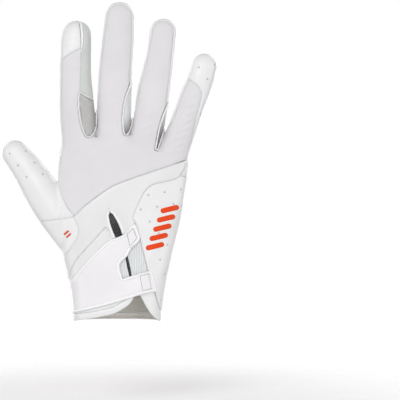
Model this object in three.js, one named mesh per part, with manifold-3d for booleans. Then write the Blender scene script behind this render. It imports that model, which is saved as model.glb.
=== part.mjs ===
// Receiver glove for the right hand, in millimetres, shown in the form that it has when worn.
// The fingers point up (+Z), the back of the hand faces -Y, the palm faces +Y and the thumb points to -X.
// The origin is the centre of the wrist opening.

import * as THREE from 'three';
import { mergeVertices } from 'three/addons/utils/BufferGeometryUtils.js';
import Module from 'manifold-3d';

const wasm = await Module();
wasm.setup();

// Driving dimensions of the worn form.
const gloveLength = 228.5; // wrist opening to the tip of the middle finger
const handWidth = 98; // across the knuckles, from the index side to the little side
const wristWidth = 62;
const palmDepth = 42; // back to palm at the wrist, which is the deepest place
const fingerWidth = 25; // at the root of the index finger
const fingerFlatness = 0.84; // depth of a finger as a share of its width
const fingerFlex = 8; // how far the fingertips lean to the palm side
const thumbForward = 8; // how far the thumb leans to the palm side

// Driving dimensions of the make.
const wall = 1.4; // cloth and grip skin
const seamGap = 0.3; // between two panels that are sewn edge to edge
const seamForward = 3; // how far the side seam lies to the palm side of a finger's middle
const panelRaise = 0.5; // how far the wrist panels stand out from the back cloth
const layerGap = 0.3; // between a panel and what lies on it
const strapThickness = 1.4;
const markThickness = 0.6;
const hemWidth = 4.5;
const hemRaise = 0.4;
const ventWidth = 4.4;
const rimWidth = 2;
const rimThickness = 0.7;
const meshThickness = 0.7;
const barLength = 13;
const barHeight = 3.6;
const barCount = 5;
const tackLength = 4.6;
const tackHeight = 1.2;
const tackSpacing = 2.6;
const tackCount = 2;

// How finely the round forms are cut into flats.
const palmSides = 32;
const fingerSides = 16;

const beyond = gloveLength; // reaches past the glove on any side
const below = -0.05; // a share of the glove's length that lies under the wrist opening
const samePlace = 0.01; // two places nearer than this are one
const sharpestCorner = 0.5; // keeps a grown outline from shooting out at a sharp corner

// The palm's sections from the wrist to the webs: up is a share of the height of the webs and deep is a share
// of the palm's depth. Left and right are shares of the wrist's width in the first row, and of the hand's
// width in all others.
const PALM = [
  { up: 0, left: -0.5, right: 0.5, deep: 1 },
  { up: 0.14, left: -0.324, right: 0.333, deep: 1 },
  { up: 0.25, left: -0.349, right: 0.353, deep: 0.98 },
  { up: 0.34, left: -0.378, right: 0.38, deep: 0.95 },
  { up: 0.44, left: -0.406, right: 0.41, deep: 0.9 },
  { up: 0.6, left: -0.427, right: 0.455, deep: 0.83 },
  { up: 0.78, left: -0.427, right: 0.491, deep: 0.75 },
  { up: 0.9, left: -0.42, right: 0.515, deep: 0.64 },
  { up: 0.96, left: -0.41, right: 0.522, deep: 0.48 },
  { up: 1, left: -0.39, right: 0.52, deep: 0.22 },
];
const palmSquareness = 2.4; // 2 is an ellipse, more is squarer

// The webs between the fingers: the highest lies beside the middle finger and they fall away to both sides.
const webs = { up: 0.582, across: 0.03, fallToIndex: 0.1, fallToLittle: 0.33 };

// The digits' sections from the root to the tip: across is a share of the hand's width, up is a share of the
// glove's length, wide is a share of the finger's width. The last row is the tip itself.
const DIGITS = {
  index: [
    { across: -0.26, up: 0.456, wide: 0.97 },
    { across: -0.287, up: 0.645, wide: 1 },
    { across: -0.299, up: 0.768, wide: 0.92 },
    { across: -0.302, up: 0.87, wide: 0.88 },
    { across: -0.295, up: 0.942, wide: 0.85 },
  ],
  middle: [
    { across: -0.031, up: 0.465, wide: 0.96 },
    { across: -0.02, up: 0.654, wide: 0.97 },
    { across: -0.015, up: 0.768, wide: 0.97 },
    { across: 0.007, up: 0.864, wide: 0.91 },
    { across: 0.0255, up: 1, wide: 0.85 },
  ],
  ring: [
    { across: 0.158, up: 0.456, wide: 0.93 },
    { across: 0.236, up: 0.625, wide: 0.92 },
    { across: 0.27, up: 0.725, wide: 0.9 },
    { across: 0.316, up: 0.825, wide: 0.82 },
    { across: 0.346, up: 0.947, wide: 0.78 },
  ],
  little: [
    { across: 0.33, up: 0.43, wide: 0.92 },
    { across: 0.492, up: 0.6215, wide: 0.8 },
    { across: 0.549, up: 0.687, wide: 0.79 },
    { across: 0.598, up: 0.74, wide: 0.775 },
    { across: 0.663, up: 0.835, wide: 0.74 },
  ],
  thumb: [
    { across: -0.265, up: 0.219, wide: 0.8 },
    { across: -0.418, up: 0.324, wide: 1.04 },
    { across: -0.537, up: 0.397, wide: 1.03 },
    { across: -0.655, up: 0.4735, wide: 0.86 },
    { across: -0.811, up: 0.557, wide: 0.76 },
  ],
};
const tipTurns = [0, 32, 60]; // degrees round the tip at which it has a section, ending in a small flat

// Seams and outlines, seen from the back. Columns: across, a share of the hand's width, and up, a share of
// the glove's length.
const SEAMS = {
  thumbBase: [[-0.437, 0.49], [-0.432, 0.451], [-0.408, 0.403], [-0.36, 0.36], [-0.301, 0.326]],
  thumbPatchTop: [[-0.301, 0.326], [-0.42, 0.318], [-0.75, 0.3]],
  thumbPatchSide: [[-0.47, 0.15], [-0.408, 0.184], [-0.333, 0.225], [-0.273, 0.263], [-0.266, 0.293],
    [-0.301, 0.326]],
  overlayTop: [[-0.301, 0.326], [-0.202, 0.365], [-0.044, 0.413], [0.078, 0.437], [0.262, 0.465],
    [0.429, 0.49], [0.62, 0.52]],
  wristTop: [[-0.45, 0.09], [-0.348, 0.1295], [-0.328, 0.158], [-0.277, 0.195], [-0.174, 0.2455],
    [-0.072, 0.293]],
  wristInner: [[0.015, 0.262], [0.02, 0.197], [0.041, 0.14], [0.092, 0.096], [0.133, 0.079]],
  sidePanel: [[0.456, 0.4525], [0.43, 0.444], [0.351, 0.434], [0.271, 0.426], [0.22, 0.41], [0.184, 0.386],
    [0.151, 0.356], [0.1235, 0.324], [0.137, 0.3125], [0.164, 0.2805], [0.23, 0.1645], [0.2765, 0.1],
    [0.3275, 0.022], [0.36, below]],
  littleWrap: [[0.456, 0.4525], [0.49, 0.477], [0.516, 0.518], [0.553, 0.5785], [0.582, 0.6355],
    [0.619, 0.7], [0.605, 0.722], [0.59, 0.731], [0.545, 0.748], [0.5, 0.757]],
  cuffEdge: [[-0.4, 0.001], [-0.33, 0.002], [-0.174, 0.011], [-0.02, 0.0245], [0.071, 0.042],
    [0.116, 0.0595], [0.133, 0.08]],
  slitEdge: [[0.178, 0.083], [0.235, 0.04], [0.306, 0.009], [0.36, below]],
  gripRim: [[0.4, 0.5], [0.43, 0.463], [0.41, 0.352], [0.37, 0.263], [0.32, 0.2215], [0.183, 0.198],
    [-0.032, 0.1895], [-0.256, 0.204], [-0.402, 0.242], [-0.52, 0.309], [-0.577, 0.384], [-0.54, 0.42],
    [-0.47, 0.44]],
  strapTop: [[-0.4, 0.085], [-0.337, 0.118], [-0.222, 0.1785], [-0.061, 0.248], [0.056, 0.272],
    [0.138, 0.306]],
  strapFork: [[0.111, 0.228], [0.081, 0.204], [0.04, 0.1865], [0.0327, 0.169], [0.052, 0.138]],
  strapBottom: [[0.275, 0.096], [0.194, 0.09], [0.133, 0.0815], [-0.072, 0.055], [-0.302, 0.029],
    [-0.4, 0.018]],
};

// Places of the small pieces, in the same shares, with turns in degrees.
const upperVent = { from: [-0.045, 0.335], to: [0.033, 0.26], wide: 1 };
const lowerVent = { from: [0.078, 0.208], to: [0.114, 0.14], wide: 0.64 };
const sideBars = { from: [0.28, 0.236], to: [0.385, 0.35], turn: 14 };
const tacks = { at: [-0.346, 0.273], turn: 40 };

const COLOURS = {
  cloth: { color: 0xe9e7ea, roughness: 0.75, metalness: 0 },
  leather: { color: 0xf4f4f4, roughness: 0.4, metalness: 0 },
  overlay: { color: 0xececee, roughness: 0.55, metalness: 0 },
  gusset: { color: 0xd2d5d2, roughness: 0.7, metalness: 0 },
  knit: { color: 0xcfd3d4, roughness: 0.85, metalness: 0 },
  mesh: { color: 0x2c2c2e, roughness: 0.8, metalness: 0 },
  grip: { color: 0xf2480a, roughness: 0.15, metalness: 0 },
};

// A place on the back view, given in shares, as millimetres.
function place([across, up]) {
  return new THREE.Vector2(across * handWidth, up * gloveLength);
}

// A closed geometry as a solid that can be joined and cut.
function solidOf(geometry) {
  geometry.deleteAttribute('normal');
  geometry.deleteAttribute('uv');
  const merged = mergeVertices(geometry, 1e-4);
  return new wasm.Manifold(new wasm.Mesh({
    numProp: 3,
    vertProperties: merged.attributes.position.array,
    triVerts: new Uint32Array(merged.index.array),
  }));
}

// A lofted solid through sections: each has a centre, a direction across, half a width, half a depth and a
// squareness.
function loft(sections, sides) {
  const last = sections.length - 1;
  const tube = new THREE.CylinderGeometry(1, 1, last, sides, last);
  const points = tube.attributes.position;
  for (let i = 0; i < points.count; i += 1) {
    const section = sections[Math.round(points.getY(i) + last / 2)];
    const squared = (value) => Math.sign(value) * Math.abs(value) ** (2 / section.squareness);
    const across = squared(points.getX(i)) * section.halfWidth;
    const back = squared(points.getZ(i)) * section.halfDepth;
    const point = section.centre.clone().addScaledVector(section.across, across);
    point.y -= back;
    if (section.lift) {
      point.z = section.lift(point.x);
    }
    points.setXYZ(i, point.x, point.y, point.z);
  }
  return solidOf(tube);
}

// How far a finger leans to the palm side at a height.
function flexAt(height) {
  const knuckle = webs.up * gloveLength;
  const share = Math.max(0, height - knuckle) / (gloveLength - knuckle);
  return fingerFlex * share ** 2;
}

// Height of the webs at a distance across the hand.
function webHeight(x) {
  const aside = x - webs.across * handWidth;
  const fall = aside < 0 ? -aside * webs.fallToIndex : aside * webs.fallToLittle;
  return webs.up * gloveLength - fall;
}

// The palm and wrist, grown outwards by a distance, or inwards by a negative one.
function palmForm(grow) {
  const sections = PALM.map((row, i) => {
    const sideWidth = i === 0 ? wristWidth : handWidth;
    const left = row.left * sideWidth - grow;
    const right = row.right * sideWidth + grow;
    return {
      centre: new THREE.Vector3((left + right) / 2, 0, 0),
      across: new THREE.Vector3(1, 0, 0),
      halfWidth: (right - left) / 2,
      halfDepth: (row.deep * palmDepth) / 2 + grow,
      squareness: palmSquareness,
      lift: (x) => row.up * (webHeight(x) + grow),
    };
  });
  if (grow < 0) {
    sections.unshift({ ...sections[0], lift: () => -wall });
  }
  return loft(sections, palmSides);
}

// One finger or the thumb, grown in the same way. Its tip is half an ellipsoid.
function digitForm(name, grow) {
  const rows = DIGITS[name];
  const forward = (row, i) => (name === 'thumb'
    ? (thumbForward * i) / (rows.length - 1)
    : flexAt(row.up * gloveLength));
  const centres = rows.map((row, i) => {
    const spot = place([row.across, row.up]);
    return new THREE.Vector3(spot.x, forward(row, i), spot.y);
  });
  const section = (centre, along, width, turn) => ({
    centre,
    across: new THREE.Vector3(along.z, 0, -along.x).normalize(),
    halfWidth: (width / 2 + grow) * Math.cos(turn),
    halfDepth: ((width / 2) * fingerFlatness + grow) * Math.cos(turn),
    squareness: 2,
  });
  const last = rows.length - 1;
  const sections = centres.slice(0, last).map((centre, i) => {
    const along = centres[i + 1].clone().sub(centres[Math.max(0, i - 1)]);
    return section(centre, along, rows[i].wide * fingerWidth, 0);
  });
  const tipWidth = rows[last].wide * fingerWidth;
  const along = centres[last].clone().sub(centres[last - 1]).normalize();
  const shoulder = centres[last].clone().addScaledVector(along, -tipWidth / 2);
  const tipFlat = Math.sin(THREE.MathUtils.degToRad(tipTurns.at(-1)));
  for (const degrees of tipTurns) {
    const turn = THREE.MathUtils.degToRad(degrees);
    const reach = ((tipWidth / 2 + grow) * Math.sin(turn)) / tipFlat;
    sections.push(section(shoulder.clone().addScaledVector(along, reach), along, tipWidth, turn));
  }
  return loft(sections, fingerSides);
}

// The whole hand's form, grown by a distance. Each one is made once.
const forms = new Map();
function form(grow) {
  if (!forms.has(grow)) {
    const digits = Object.keys(DIGITS).map((name) => digitForm(name, grow));
    forms.set(grow, digits.reduce((whole, digit) => whole.add(digit), palmForm(grow)));
  }
  return forms.get(grow);
}

// A smooth line through the places of a seam. Two places make a straight line.
function line(rows) {
  const points = rows.map(place);
  return points.length < 3 ? points : new THREE.SplineCurve(points).getPoints((points.length - 1) * 2);
}

// Moves each edge of a closed outline outwards by a distance.
function grownOutline(points, distance) {
  const counterClockwise = THREE.ShapeUtils.area(points) > 0;
  const ring = counterClockwise ? points : [...points].reverse();
  const outward = (a, b) => new THREE.Vector2(b.y - a.y, a.x - b.x).normalize();
  return ring.map((point, i) => {
    const before = outward(ring[(i + ring.length - 1) % ring.length], point);
    const after = outward(point, ring[(i + 1) % ring.length]);
    const both = before.clone().add(after).normalize();
    return point.clone().addScaledVector(both, distance / Math.max(sharpestCorner, both.dot(after)));
  });
}

// The space through the whole glove behind an outline that is drawn on the back view.
function through(points) {
  const outline = points.filter((point, i) => i === 0 || point.distanceTo(points[i - 1]) > samePlace);
  const shape = new THREE.Shape(outline);
  const prism = new THREE.ExtrudeGeometry(shape, { depth: 2 * beyond, bevelEnabled: false });
  prism.rotateX(Math.PI / 2);
  prism.translate(0, beyond, 0);
  return solidOf(prism);
}

// The space on one side of the seam that runs round the fingers and the hand: toPalm is 1 or -1.
function halfSpace(toPalm, grow) {
  const steps = 3;
  const foot = below * gloveLength;
  const top = gloveLength - foot;
  const knuckle = webs.up * gloveLength;
  const edge = (height) => {
    shape.lineTo(flexAt(height) + seamForward + toPalm * (seamGap / 2 - grow), height);
  };
  const shape = new THREE.Shape();
  shape.moveTo(toPalm * beyond, foot);
  edge(foot);
  for (let i = 0; i <= steps; i += 1) {
    edge(knuckle + ((top - knuckle) * i) / steps);
  }
  shape.lineTo(toPalm * beyond, top);
  const slab = new THREE.ExtrudeGeometry(shape, { depth: 2 * beyond, bevelEnabled: false });
  slab.applyMatrix4(new THREE.Matrix4().set(0, 0, 1, -beyond, 1, 0, 0, 0, 0, 1, 0, 0, 0, 0, 0, 1));
  return solidOf(slab);
}

// The largest of the bodies that a cut leaves, so that no crumb of a seam is kept.
function mainBody(solid) {
  const bodies = solid.decompose();
  return bodies.reduce((most, body) => (body.volume() > most.volume() ? body : most));
}

const palmHalf = { tight: halfSpace(1, 0), grown: halfSpace(1, seamGap) };
const backHalf = { tight: halfSpace(-1, 0), grown: halfSpace(-1, seamGap) };

const glove = new THREE.Group();

function addPiece(name, solid, finish) {
  const cut = solid.getMesh();
  const geometry = new THREE.BufferGeometry();
  geometry.setAttribute('position', new THREE.BufferAttribute(new Float32Array(cut.vertProperties), 3));
  geometry.setIndex(new THREE.BufferAttribute(new Uint32Array(cut.triVerts), 1));
  geometry.computeVertexNormals();
  const mesh = new THREE.Mesh(geometry, new THREE.MeshStandardMaterial(COLOURS[finish]));
  mesh.name = name;
  glove.add(mesh);
}

// The glove's wall is shared out among its panels, one after the other: a panel gets what its outline holds
// and what no earlier panel took, and each seam keeps its gap.
let taken = null;

function take(space) {
  taken = taken ? taken.add(space) : space;
}

function cutPanel(name, finish, outline, half, raise) {
  let panel = form(raise).subtract(form(-wall)).intersect(through(outline));
  let space = through(grownOutline(outline, seamGap));
  if (half) {
    panel = panel.intersect(half.tight);
    space = space.intersect(half.grown);
  }
  if (taken) {
    panel = panel.subtract(taken);
  }
  take(space);
  addPiece(name, mainBody(panel), finish);
}

// A piece that lies on the back panels and follows their form.
function layOn(name, finish, outline, low, thickness, without) {
  let layer = form(low + thickness).subtract(form(low)).intersect(through(outline)).intersect(backHalf.tight);
  if (without) {
    layer = layer.subtract(without);
  }
  addPiece(name, mainBody(layer), finish);
}

// A lens with pointed ends, grown by a distance.
function lens(vent, grow) {
  const from = place(vent.from);
  const to = place(vent.to);
  const along = to.clone().sub(from);
  const reach = grow / along.length();
  const aside = new THREE.Vector2(-along.y, along.x).normalize();
  const steps = 5;
  const points = [];
  for (const side of [1, -1]) {
    for (let i = 0; i < steps; i += 1) {
      const share = side > 0 ? i / steps : 1 - i / steps;
      const arch = Math.sin(Math.PI * share);
      const bulge = (vent.wide * ventWidth * arch) / 2 + grow * Math.sqrt(arch);
      const point = from.clone().addScaledVector(along, share * (1 + 2 * reach) - reach);
      points.push(point.addScaledVector(aside, side * bulge));
    }
  }
  return points;
}

// A bar with rounded ends, turned by some degrees.
function bar(centre, length, height, degrees) {
  const steps = 3;
  const turn = THREE.MathUtils.degToRad(degrees);
  const points = [];
  for (const side of [1, -1]) {
    for (let i = 0; i <= steps; i += 1) {
      const angle = -Math.PI / 2 + (Math.PI * i) / steps;
      const x = side * (length / 2 - height / 2 + Math.cos(angle) * (height / 2));
      const y = side * Math.sin(angle) * (height / 2);
      points.push(new THREE.Vector2(x, y).rotateAround(new THREE.Vector2(), turn).add(centre));
    }
  }
  return points;
}

// The two vents are open through every panel.
const upperVentHole = through(lens(upperVent, 0));
const lowerVentHole = through(lens(lowerVent, 0));
take(upperVentHole.intersect(backHalf.grown));
take(lowerVentHole.intersect(backHalf.grown));

// The wrist slit and the rising cuff edge leave the back half open at the bottom.
const slitOutline = [
  ...line(SEAMS.cuffEdge),
  ...line(SEAMS.slitEdge),
  place([-0.4, below]),
];
take(through(slitOutline).intersect(backHalf.grown));

// Palm side: the insert at the thumb's seam, then the glossy grip skin.
cutPanel('thumb_seam_insert', 'leather', [
  place([-0.237, 0.4135]),
  place([-0.43, 0.5]),
  place([-0.55, 0.47]),
  place([-0.5, 0.432]),
], palmHalf, 0);
cutPanel('palm_grip', 'grip', [
  ...line(SEAMS.gripRim),
  place([-0.45, 0.55]),
  place([-0.47, 0.97]),
  place([-0.3, 1.05]),
  place([0.2, 1.05]),
  place([0.175, 0.83]),
  place([0.115, 0.66]),
  place([0.108, 0.585]),
  place([0.2, 0.565]),
  place([0.31, 0.54]),
], palmHalf, 0);

// The thumb is one skin, all round.
cutPanel('thumb_shell', 'leather', [
  ...line(SEAMS.thumbBase),
  ...line(SEAMS.thumbPatchTop).slice(1),
  place([-1, 0.4]),
  place([-0.95, 0.62]),
  place([-0.6, 0.62]),
], null, 0);

// The patch beside the thumb, and the two skins that wrap round from the palm on the little-finger side.
cutPanel('thumb_side_panel', 'leather', [
  ...line(SEAMS.thumbPatchSide),
  ...line(SEAMS.thumbPatchTop).slice(1),
  place([-0.75, 0.15]),
], backHalf, panelRaise);
cutPanel('side_panel', 'leather', [
  ...line(SEAMS.sidePanel),
  place([0.75, below]),
  place([0.75, 0.44]),
], backHalf, panelRaise);
cutPanel('little_finger_wrap', 'leather', [
  ...line(SEAMS.littleWrap),
  place([0.48, 0.8]),
  place([0.6, 0.9]),
  place([0.85, 0.9]),
  place([0.85, 0.44]),
], backHalf, 0);

// Fingers: the cap of the index finger and the side strips between the fingers.
cutPanel('index_side_strip', 'gusset', [
  place([-0.266, 0.935]),
  place([-0.262, 0.7155]),
  place([-0.175, 0.692]),
  place([-0.15, 0.692]),
  place([-0.15, 0.96]),
], backHalf, 0);
cutPanel('index_gusset', 'gusset', [
  place([-0.262, 0.7155]),
  place([-0.264, 0.657]),
  place([-0.238, 0.61]),
  place([-0.19, 0.572]),
  place([-0.15, 0.572]),
  place([-0.15, 0.692]),
  place([-0.175, 0.692]),
], backHalf, 0);
cutPanel('index_tip_cap', 'leather', [
  place([-0.45, 0.812]),
  place([-0.397, 0.8175]),
  place([-0.253, 0.8535]),
  place([-0.15, 0.87]),
  place([-0.15, 1]),
  place([-0.45, 1]),
], backHalf, 0);
cutPanel('middle_gusset', 'gusset', [
  place([0.099, 0.75]),
  ...line([[0.099, 0.742], [0.058, 0.69], [0.037, 0.635], [0.051, 0.58]]),
  place([0.095, 0.58]),
  place([0.115, 0.657]),
  place([0.15, 0.75]),
], backHalf, 0);
cutPanel('ring_gusset', 'gusset', [
  ...line([[0.371, 0.684], [0.313, 0.613], [0.277, 0.535]]),
  place([0.3, 0.53]),
  place([0.322, 0.56]),
  place([0.367, 0.62]),
  place([0.403, 0.684]),
], backHalf, 0);

// Wrist: the hem of the back, the knit and the flap at the slit, the panel that carries the strap, and the
// raised panel over the lower back of the hand.
const cuffLine = line(SEAMS.cuffEdge);
const hemLine = grownOutline([...cuffLine, place([0.133, below]), place([-0.4, below])], hemWidth)
  .filter((point) => point.y > 0 && point.x < cuffLine.at(-1).x);
const hemOutline = [
  place([0.133, below]),
  cuffLine.at(-1),
  ...hemLine,
  place([-0.5, below]),
];
cutPanel('back_hem', 'overlay', hemOutline, backHalf, hemRaise);
const knitFoot = [[0.3, 0.114], [0.1, 0.094]];
cutPanel('knit_insert', 'knit', [
  ...line(SEAMS.wristInner.slice(0, 4)),
  ...[...knitFoot].reverse().map(place),
  place([0.2, 0.32]),
  place([0.06, 0.3]),
], backHalf, 0);
cutPanel('slit_flap', 'overlay', [
  ...knitFoot.map(place),
  place([0.14, 0.079]),
  place([0.14, below]),
  place([0.4, below]),
  place([0.4, 0.114]),
], backHalf, 0);
cutPanel('wrist_panel', 'overlay', [
  ...line(SEAMS.wristTop),
  ...line(SEAMS.wristInner),
  place([0.14, below]),
  place([-0.6, below]),
  place([-0.6, 0.09]),
], backHalf, panelRaise);
cutPanel('knuckle_overlay', 'overlay', [
  ...line(SEAMS.overlayTop),
  place([0.75, 0.52]),
  place([0.75, below]),
  place([-0.75, below]),
  place([-0.75, 0.3]),
], backHalf, panelRaise);

// What is left of the back is one stretch cloth, and what is left of the palm is one perforated skin.
const everywhere = [place([-1.5, -0.1]), place([1.5, -0.1]), place([1.5, 1.2]), place([-1.5, 1.2])];
const hemTop = hemWidth / gloveLength;
cutPanel('back_panel', 'cloth', everywhere, backHalf, 0);
cutPanel('palm_hem', 'leather', [
  place([-0.6, below]),
  place([0.6, below]),
  place([0.6, hemTop]),
  place([-0.6, hemTop]),
], palmHalf, hemRaise);
cutPanel('palm_white', 'leather', everywhere, palmHalf, 0);

// The strap with its two arms lies on the wrist panels.
const strapOutline = [
  ...line(SEAMS.strapTop),
  ...line([[0.138, 0.306], [0.1735, 0.2655], [0.163, 0.25], [0.111, 0.228]]).slice(1),
  ...line(SEAMS.strapFork).slice(1),
  ...line([[0.052, 0.138], [0.24, 0.161]]).slice(1),
  ...line([[0.24, 0.161], [0.262, 0.147], [0.28, 0.104], [0.275, 0.096]]).slice(1),
  ...line(SEAMS.strapBottom).slice(1),
];
const onPanels = panelRaise + layerGap;
layOn('closure_strap', 'overlay', strapOutline, onPanels, strapThickness);

// The upper vent has a raised rim, and both vents show a dark mesh behind.
const strapSpace = through(grownOutline(strapOutline, layerGap));
layOn('upper_vent_rim', 'overlay', lens(upperVent, rimWidth), onPanels, rimThickness,
  upperVentHole.add(strapSpace));
layOn('upper_vent_mesh', 'mesh', lens(upperVent, -seamGap), -wall + seamGap, meshThickness);
layOn('lower_vent_mesh', 'mesh', lens(lowerVent, -seamGap), -wall + seamGap, meshThickness);

// Plain marks: a slanting row of bars on the side panel and two bar tacks beside the thumb.
for (let i = 0; i < barCount; i += 1) {
  const centre = place(sideBars.from).lerp(place(sideBars.to), i / (barCount - 1));
  const outline = bar(centre, barLength, barHeight, sideBars.turn);
  layOn(`side_bar_${i + 1}`, 'grip', outline, onPanels, markThickness);
}
const tackTurn = THREE.MathUtils.degToRad(tacks.turn);
for (let i = 0; i < tackCount; i += 1) {
  const step = new THREE.Vector2(0, (i - (tackCount - 1) / 2) * tackSpacing);
  const centre = step.rotateAround(new THREE.Vector2(), tackTurn).add(place(tacks.at));
  const outline = bar(centre, tackLength, tackHeight, tacks.turn);
  layOn(`bar_tack_${i + 1}`, 'grip', outline, onPanels, markThickness);
}

export default glove;
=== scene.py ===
import math
from itertools import product

import bmesh
import bpy
import numpy as np
from mathutils import Matrix, Vector
from mathutils.bvhtree import BVHTree
from mathutils.kdtree import KDTree


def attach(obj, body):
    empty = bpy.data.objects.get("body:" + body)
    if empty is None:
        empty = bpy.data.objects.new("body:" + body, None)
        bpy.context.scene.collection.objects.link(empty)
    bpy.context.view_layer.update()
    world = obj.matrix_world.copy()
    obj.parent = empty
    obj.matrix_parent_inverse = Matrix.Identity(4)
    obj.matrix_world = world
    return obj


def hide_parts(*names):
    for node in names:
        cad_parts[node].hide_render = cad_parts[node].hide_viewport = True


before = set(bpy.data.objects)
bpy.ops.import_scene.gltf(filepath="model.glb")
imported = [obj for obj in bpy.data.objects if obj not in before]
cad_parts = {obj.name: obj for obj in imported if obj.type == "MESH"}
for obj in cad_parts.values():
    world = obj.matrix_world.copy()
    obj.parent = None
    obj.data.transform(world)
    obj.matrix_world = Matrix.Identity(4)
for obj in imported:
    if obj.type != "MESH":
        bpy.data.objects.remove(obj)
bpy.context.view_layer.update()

# The camera stands level in front of the back of the hand, with a long lens, so that the fingers point
# straight up and nothing is foreshortened.
camera = bpy.data.objects.new("camera", bpy.data.cameras.new("camera"))
bpy.context.scene.collection.objects.link(camera)
camera.data.lens = 135
camera.data.sensor_width = 36
camera.location = (0.0593, -1.07, 0.0864)
camera.rotation_euler = (math.radians(90), 0, 0)
bpy.context.scene.camera = camera

# The worn form is the shape that the sewn skins take over a hand: a palm and five digits, blended into one
# smooth surface with its soft folds. None of it is shown itself. Every skin below is cut from it.
glove_length = 0.2285
hand_width = 0.098
palm_depth = 0.042
finger_width = 0.025
finger_flatness = 0.84
finger_flex = 0.008
thumb_forward = 0.008
web_height, web_across, fall_to_index, fall_to_little = 0.582, 0.03, 0.1, 0.33
palm_squareness = 2.4  # 2 is an ellipse, more is squarer
palm_sides, digit_sides = 48, 32
tip_rings = (15, 30, 45, 60, 74, 85)  # degrees round a fingertip

# Columns: share of the webs' height, left and right edge and depth as shares of the hand's own.
palm_rows = [
    (-0.05, -0.32, 0.32, 1), (0, -0.316, 0.316, 1), (0.14, -0.324, 0.333, 1),
    (0.25, -0.349, 0.353, 0.98), (0.34, -0.378, 0.38, 0.95), (0.44, -0.406, 0.41, 0.9),
    (0.6, -0.427, 0.455, 0.83), (0.78, -0.427, 0.491, 0.75), (0.9, -0.42, 0.515, 0.64),
    (0.96, -0.41, 0.522, 0.48), (1, -0.39, 0.52, 0.22),
]
# Columns: across the hand, up the glove, width of the finger. The last row is the tip.
digit_rows = {
    "index": [(-0.26, 0.456, 0.97), (-0.287, 0.645, 1), (-0.299, 0.768, 0.92), (-0.302, 0.87, 0.88),
              (-0.295, 0.942, 0.85)],
    "middle": [(-0.031, 0.465, 0.96), (-0.02, 0.654, 0.97), (-0.015, 0.768, 0.97), (0.007, 0.864, 0.91),
               (0.0255, 1, 0.85)],
    "ring": [(0.158, 0.456, 0.93), (0.236, 0.625, 0.92), (0.27, 0.725, 0.9), (0.316, 0.825, 0.82),
             (0.346, 0.947, 0.78)],
    "little": [(0.33, 0.43, 0.92), (0.492, 0.6215, 0.8), (0.549, 0.687, 0.79), (0.598, 0.74, 0.775),
               (0.663, 0.835, 0.74)],
    "thumb": [(-0.265, 0.219, 0.8), (-0.418, 0.324, 1.04), (-0.537, 0.397, 1.03), (-0.655, 0.4735, 0.86),
              (-0.811, 0.557, 0.76)],
}


def eased(rows, steps):
    """The rows with others between them, on a smooth line through them."""
    rows = np.array(rows, float)
    rows = np.vstack([2 * rows[0] - rows[1], rows, 2 * rows[-1] - rows[-2]])
    found = []
    for a, b, c, d in zip(rows, rows[1:], rows[2:], rows[3:]):
        for t in np.arange(steps) / steps:
            found.append(b + 0.5 * t * (c - a + t * (2 * a - 5 * b + 4 * c - d + t * (3 * (b - c) + d - a))))
    return np.array(found + [rows[-2]])


def lean(height):
    """How far a finger leans to the palm side at a height."""
    knuckle = web_height * glove_length
    return finger_flex * (np.maximum(0, height - knuckle) / (glove_length - knuckle)) ** 2


def loft(form, rings, sides):
    """Adds a closed tube to the form. Each ring is a way to turn the unit circle's points into places."""
    before = None
    for i, ring in enumerate(rings):
        end = i in (0, len(rings) - 1)
        made = bmesh.ops.create_circle(form, cap_ends=end, segments=sides, radius=1)["verts"]
        edges = list({edge for vert in made for edge in vert.link_edges})
        for vert in made:
            vert.co = ring(vert.co)
        if before:
            bmesh.ops.bridge_loops(form, edges=before + edges)
        before = edges


def palm_ring(up, left, right, deep):
    def ring(point):
        squared = [math.copysign(abs(value) ** (2 / palm_squareness), value) for value in point[:2]]
        x = hand_width * ((left + right) / 2 + squared[0] * (right - left) / 2)
        aside = x - web_across * hand_width
        top = web_height * glove_length - (-aside * fall_to_index if aside < 0 else aside * fall_to_little)
        return Vector((x, squared[1] * deep * palm_depth / 2, up * top))
    return ring


def digit_ring(centre, along, width, shrink=1.0):
    across = Vector((along.z, 0, -along.x)).normalized()

    def ring(point):
        half = width / 2 * shrink
        return centre + across * (point[0] * half) + Vector((0, point[1] * half * finger_flatness, 0))
    return ring


form = bmesh.new()
loft(form, [palm_ring(*row) for row in eased(palm_rows, 3)], palm_sides)
for name, rows in digit_rows.items():
    stations = []
    for i, (across, up, wide) in enumerate(rows):
        z = up * glove_length
        y = thumb_forward * i / (len(rows) - 1) if name == "thumb" else lean(z)
        stations.append((across * hand_width, y, z, wide * finger_width))
    tip, below = Vector(stations[-1][:3]), Vector(stations[-2][:3])
    along, width = (tip - below).normalized(), stations[-1][3]
    shoulder = tip - along * width / 2
    stations = eased(stations[:-1] + [(*shoulder, width)], 4)
    places = [Vector(row[:3]) for row in stations]
    rings = []
    for i, row in enumerate(stations):
        course = places[min(i + 1, len(places) - 1)] - places[max(i - 1, 0)]
        rings.append(digit_ring(places[i], course, row[3]))
    for degrees in tip_rings:
        turn = math.radians(degrees)
        centre = shoulder + along * (width / 2 * math.sin(turn))
        rings.append(digit_ring(centre, along, width, math.cos(turn)))
    loft(form, rings, digit_sides)
bmesh.ops.recalc_face_normals(form, faces=form.faces)


def to_object(name, form):
    """The form as a mesh object of its own."""
    mesh = bpy.data.meshes.new(name)
    form.to_mesh(mesh)
    form.free()
    piece = bpy.data.objects.new(name, mesh)
    bpy.context.scene.collection.objects.link(piece)
    return piece


def settle(piece):
    """Makes what the piece's modifiers do a part of its mesh."""
    bpy.context.view_layer.update()
    done = bpy.data.meshes.new_from_object(piece.evaluated_get(bpy.context.evaluated_depsgraph_get()))
    piece.modifiers.clear()
    old, piece.data = piece.data, done
    bpy.data.meshes.remove(old)
    return piece


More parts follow.
